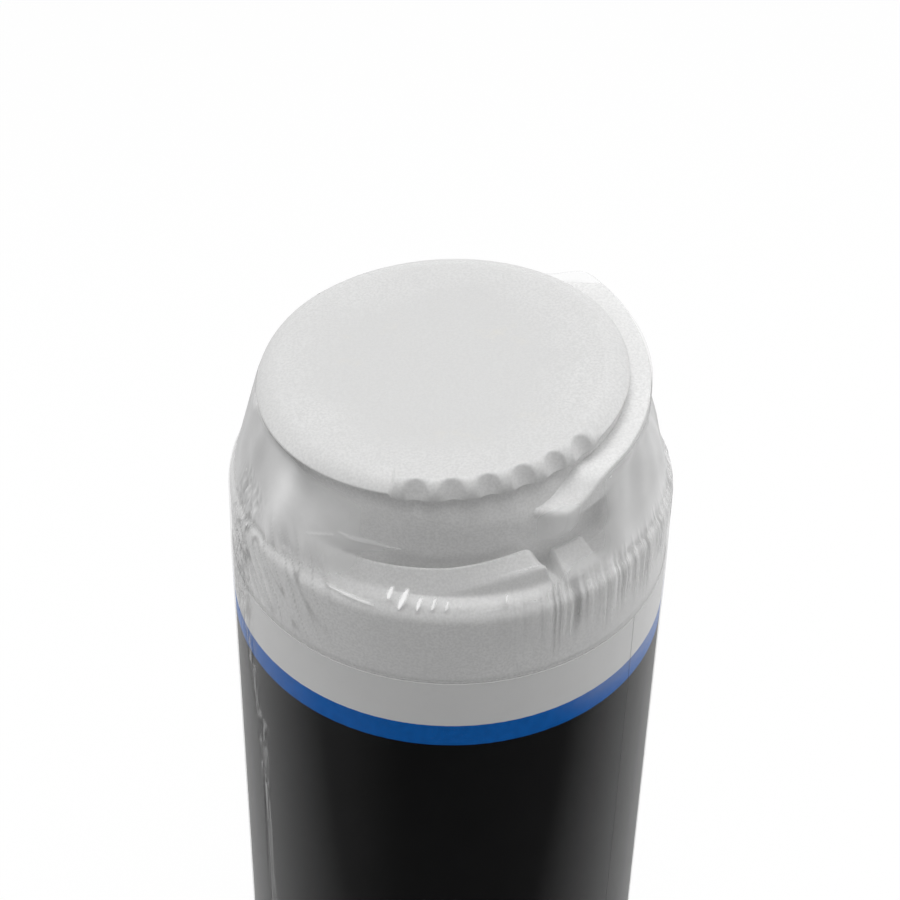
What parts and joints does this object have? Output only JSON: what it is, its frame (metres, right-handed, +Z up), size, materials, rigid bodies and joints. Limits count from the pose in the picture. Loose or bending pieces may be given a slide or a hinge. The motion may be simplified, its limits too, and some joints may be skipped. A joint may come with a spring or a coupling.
{
  "type": "refrigerator water filter cartridge",
  "caption": "Tall round white refrigerator water filter cartridge with a lugged neck, loose cover cap and banded label, sealed in clear shrink wrap.",
  "frame": {"origin": "centre of the wrapped cartridge's flat underside", "axes": "+Z up the cartridge's axis to the cap, +X to the right of the picture, towards the locking lug, +Y away from the camera"},
  "size_m": [0.08, 0.08, 0.2289],
  "materials": {
    "sump_plastic": "moulded white",
    "head_plastic": "moulded white",
    "cap_plastic": "moulded white, fine grain",
    "seal_rubber": "smooth black",
    "end_cap_plastic": "moulded off-white",
    "carbon": "porous black",
    "sleeve_felt": "white non-woven",
    "label_print": "printed white, blue and black bands",
    "clear_film": "clear, wrinkled"
  },
  "bodies": {
    "root": {"sump_body": "sump_plastic", "head_cover": "head_plastic", "neck_cap": "cap_plastic", "spigot_ring_wide": "seal_rubber", "spigot_ring_slim": "seal_rubber", "end_cap_ring": "seal_rubber", "top_end_cap": "end_cap_plastic", "bottom_end_cap": "end_cap_plastic", "carbon_block": "carbon", "prefilter_sleeve": "sleeve_felt", "label_sleeve": "label_print", "shrink_wrap": "clear_film"}
  },
  "joints": []
}
